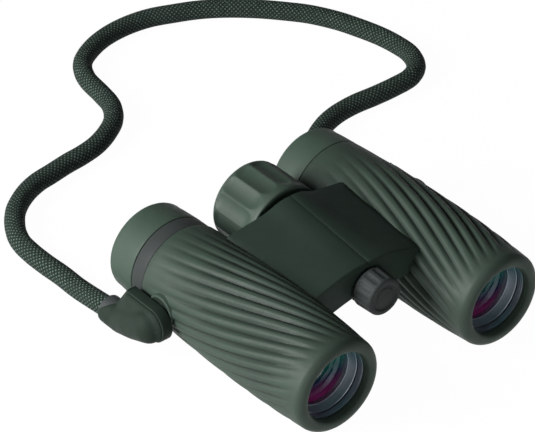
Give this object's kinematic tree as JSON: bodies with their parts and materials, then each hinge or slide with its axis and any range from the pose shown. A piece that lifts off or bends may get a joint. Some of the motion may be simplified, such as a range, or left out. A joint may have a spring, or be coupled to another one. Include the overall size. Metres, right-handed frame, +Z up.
{
  "type": "compact binoculars",
  "caption": "Compact centre-focus roof-prism binoculars with ribbed rubber armour, twist-up eyecups, a folding bridge and a rope neck strap.",
  "frame": {"origin": "on the resting surface, under the middle of the body's box without the rope strap", "axes": "+Z up, objectives towards -Y, eyepieces towards +Y, the user's right-hand barrel at -X"},
  "size_m": [0.2001, 0.2441, 0.0432],
  "materials": {
    "rubber_armour": "matte moulded rubber",
    "connector_rubber": "soft satin rubber",
    "bridge_plastic": "fine matte grain",
    "charcoal_plastic": "fine matte grain",
    "black_plastic": "matte",
    "ring_metal": "satin anodised",
    "steel": "turned",
    "brass": "turned brass",
    "coated_glass": "green and magenta coated",
    "clear_glass": "clear",
    "rope": "braided"
  },
  "bodies": {
    "left_half": {"left_armour": "rubber_armour", "left_barrel": "black_plastic", "left_front_ring": "ring_metal", "left_objective_cell": "ring_metal", "left_objective_lens": "coated_glass", "left_baffle": "black_plastic", "left_prism_holder": "black_plastic", "left_prism": "clear_glass", "left_eyepiece_tube": "black_plastic", "left_ocular_cell": "black_plastic", "left_ocular_lens": "coated_glass", "left_strap_boss": "rubber_armour", "left_connector": "connector_rubber", "left_bridge": "bridge_plastic", "hinge_tube": "steel", "hinge_washers": "steel", "tripod_bush": "brass", "strap_left": "rope"},
    "right_half": {"right_armour": "rubber_armour", "right_barrel": "black_plastic", "right_front_ring": "ring_metal", "right_objective_cell": "ring_metal", "right_objective_lens": "coated_glass", "right_baffle": "black_plastic", "right_prism_holder": "black_plastic", "right_prism": "clear_glass", "right_eyepiece_tube": "black_plastic", "right_strap_boss": "rubber_armour", "right_connector": "connector_rubber", "right_bridge": "bridge_plastic", "strap_right": "rope"},
    "focus_drive": {"focus_screw": "brass", "focus_wheel_core": "black_plastic", "focus_wheel": "rubber_armour"},
    "focus_carriage": {"focus_spool": "brass"},
    "left_focus": {"left_focus_cell": "black_plastic", "left_focus_lens": "clear_glass", "left_focus_arm": "steel"},
    "right_focus": {"right_focus_cell": "black_plastic", "right_focus_lens": "clear_glass", "right_focus_arm": "steel"},
    "diopter": {"diopter_ring": "charcoal_plastic"},
    "right_ocular": {"right_ocular_cell": "black_plastic", "right_ocular_lens": "coated_glass"},
    "left_eyecup_turn": {"left_eyecup_key": "black_plastic"},
    "left_eyecup_rise": {"left_eyecup_sleeve": "black_plastic", "left_eyecup": "rubber_armour"},
    "right_eyecup_turn": {"right_eyecup_key": "black_plastic"},
    "right_eyecup_rise": {"right_eyecup_sleeve": "black_plastic", "right_eyecup": "rubber_armour"},
    "cap": {"socket_cap": "charcoal_plastic"}
  },
  "joints": [
    {"name": "centre_hinge", "type": "hinge", "parent": "left_half", "child": "right_half", "pos_m": [0, -0.0014, 0.0277], "axis": [0, -1, 0], "range_deg": [0, 55]},
    {"name": "focus_turn", "type": "hinge", "parent": "left_half", "child": "focus_drive", "pos_m": [0, -0.0014, 0.0277], "axis": [0, 1, 0], "range_deg": [-216, 216]},
    {"name": "carriage_slide", "type": "slide", "parent": "left_half", "child": "focus_carriage", "axis": [0, 1, 0], "range_m": [-0.00241, 0.00241]},
    {"name": "left_focus_slide", "type": "slide", "parent": "left_half", "child": "left_focus", "axis": [0, 1, 0], "range_m": [-0.00241, 0.00241]},
    {"name": "right_focus_slide", "type": "slide", "parent": "right_half", "child": "right_focus", "axis": [0, 1, 0], "range_m": [-0.00241, 0.00241]},
    {"name": "diopter_turn", "type": "hinge", "parent": "right_half", "child": "diopter", "pos_m": [-0.036, 0.0343, 0.0191], "axis": [0, 1, 0], "range_deg": [-50.3, 50.3]},
    {"name": "right_ocular_slide", "type": "slide", "parent": "right_half", "child": "right_ocular", "axis": [0, 1, 0], "range_m": [-0.0015, 0.0015]},
    {"name": "left_eyecup_turn", "type": "hinge", "parent": "left_half", "child": "left_eyecup_turn", "pos_m": [0.036, 0.0326, 0.0191], "axis": [0, 1, 0], "range_deg": [0, 150]},
    {"name": "left_eyecup_rise", "type": "slide", "parent": "left_eyecup_turn", "child": "left_eyecup_rise", "axis": [0, 1, 0], "range_m": [0, 0.00801]},
    {"name": "right_eyecup_turn", "type": "hinge", "parent": "right_half", "child": "right_eyecup_turn", "pos_m": [-0.036, 0.0326, 0.0191], "axis": [0, 1, 0], "range_deg": [0, 150]},
    {"name": "right_eyecup_rise", "type": "slide", "parent": "right_eyecup_turn", "child": "right_eyecup_rise", "axis": [0, 1, 0], "range_m": [0, 0.00801]},
    {"name": "cap_pull", "type": "slide", "parent": "left_half", "child": "cap", "axis": [0, -1, 0], "range_m": [0, 0.03]}
  ],
  "couplings": [
    {"joint": "carriage_slide", "follows": "focus_turn", "m_per_rad": 0.00063662},
    {"joint": "left_focus_slide", "follows": "focus_turn", "m_per_rad": 0.00063662},
    {"joint": "right_focus_slide", "follows": "focus_turn", "m_per_rad": 0.00063662},
    {"joint": "diopter_turn", "follows": "right_ocular_slide", "rad_per_m": 581.78},
    {"joint": "left_eyecup_rise", "follows": "left_eyecup_turn", "m_per_rad": 0.0030558},
    {"joint": "right_eyecup_rise", "follows": "right_eyecup_turn", "m_per_rad": 0.0030558}
  ]
}
